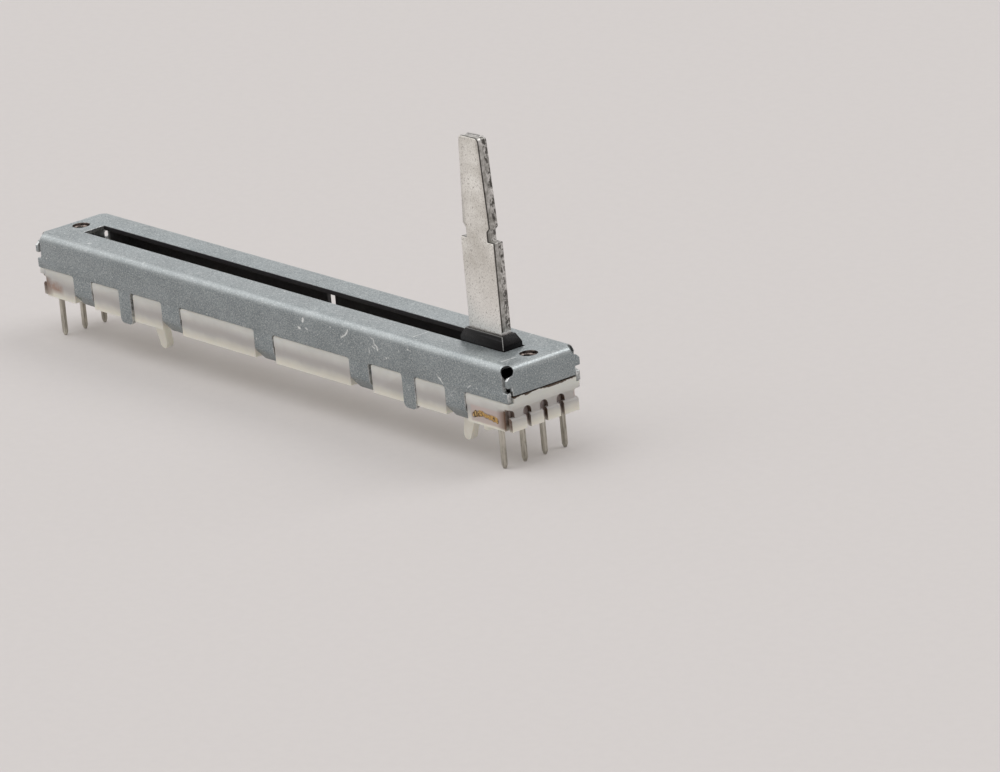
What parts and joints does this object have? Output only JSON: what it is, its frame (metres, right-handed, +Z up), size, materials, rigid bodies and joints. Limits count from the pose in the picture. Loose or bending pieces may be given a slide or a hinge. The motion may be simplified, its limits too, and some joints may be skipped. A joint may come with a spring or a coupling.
{
  "type": "slide potentiometer",
  "caption": "Slide potentiometer for a circuit board: slotted folded-steel case over a moulded base, solder pins at both ends, and a flat steel lever on a carriage that slides along the slot.",
  "frame": {"origin": "centre of the moulded base's underside, which sits on the circuit board", "axes": "+X along the slot towards the end with the longer row of pins, +Y across the slot away from the side with the moulded hooks, +Z up through the lever"},
  "size_m": [0.075, 0.009, 0.0312],
  "materials": {
    "zinc_plated_steel": "satin",
    "natural_plastic": "satin",
    "phenolic_laminate": "matte",
    "printed_carbon": "matte",
    "printed_silver": "satin",
    "tinned_brass": "satin",
    "brass": "satin",
    "black_plastic": "satin",
    "phosphor_bronze": "satin",
    "lever_steel": "satin"
  },
  "bodies": {
    "housing": {"case_cover": "zinc_plated_steel", "base_moulding": "natural_plastic", "element_board": "phenolic_laminate", "resistive_track_front": "printed_carbon", "collector_track_front": "printed_silver", "collector_track_back": "printed_silver", "resistive_track_back": "printed_carbon", "terminal_near_1": "tinned_brass", "rivet_near_1": "brass", "terminal_near_2": "tinned_brass", "rivet_near_2": "brass", "terminal_near_3": "tinned_brass", "rivet_near_3": "brass", "terminal_near_4": "tinned_brass", "rivet_near_4": "brass", "terminal_far_1": "tinned_brass", "rivet_far_1": "brass", "terminal_far_2": "tinned_brass", "rivet_far_2": "brass", "terminal_far_3": "tinned_brass", "rivet_far_3": "brass"},
    "slider": {"carriage": "black_plastic", "wiper_front": "phosphor_bronze", "wiper_back": "phosphor_bronze", "lever": "lever_steel"}
  },
  "joints": [
    {"name": "slider_travel", "type": "slide", "parent": "housing", "child": "slider", "axis": [1, 0, 0], "range_m": [-0.06, 0]}
  ]
}
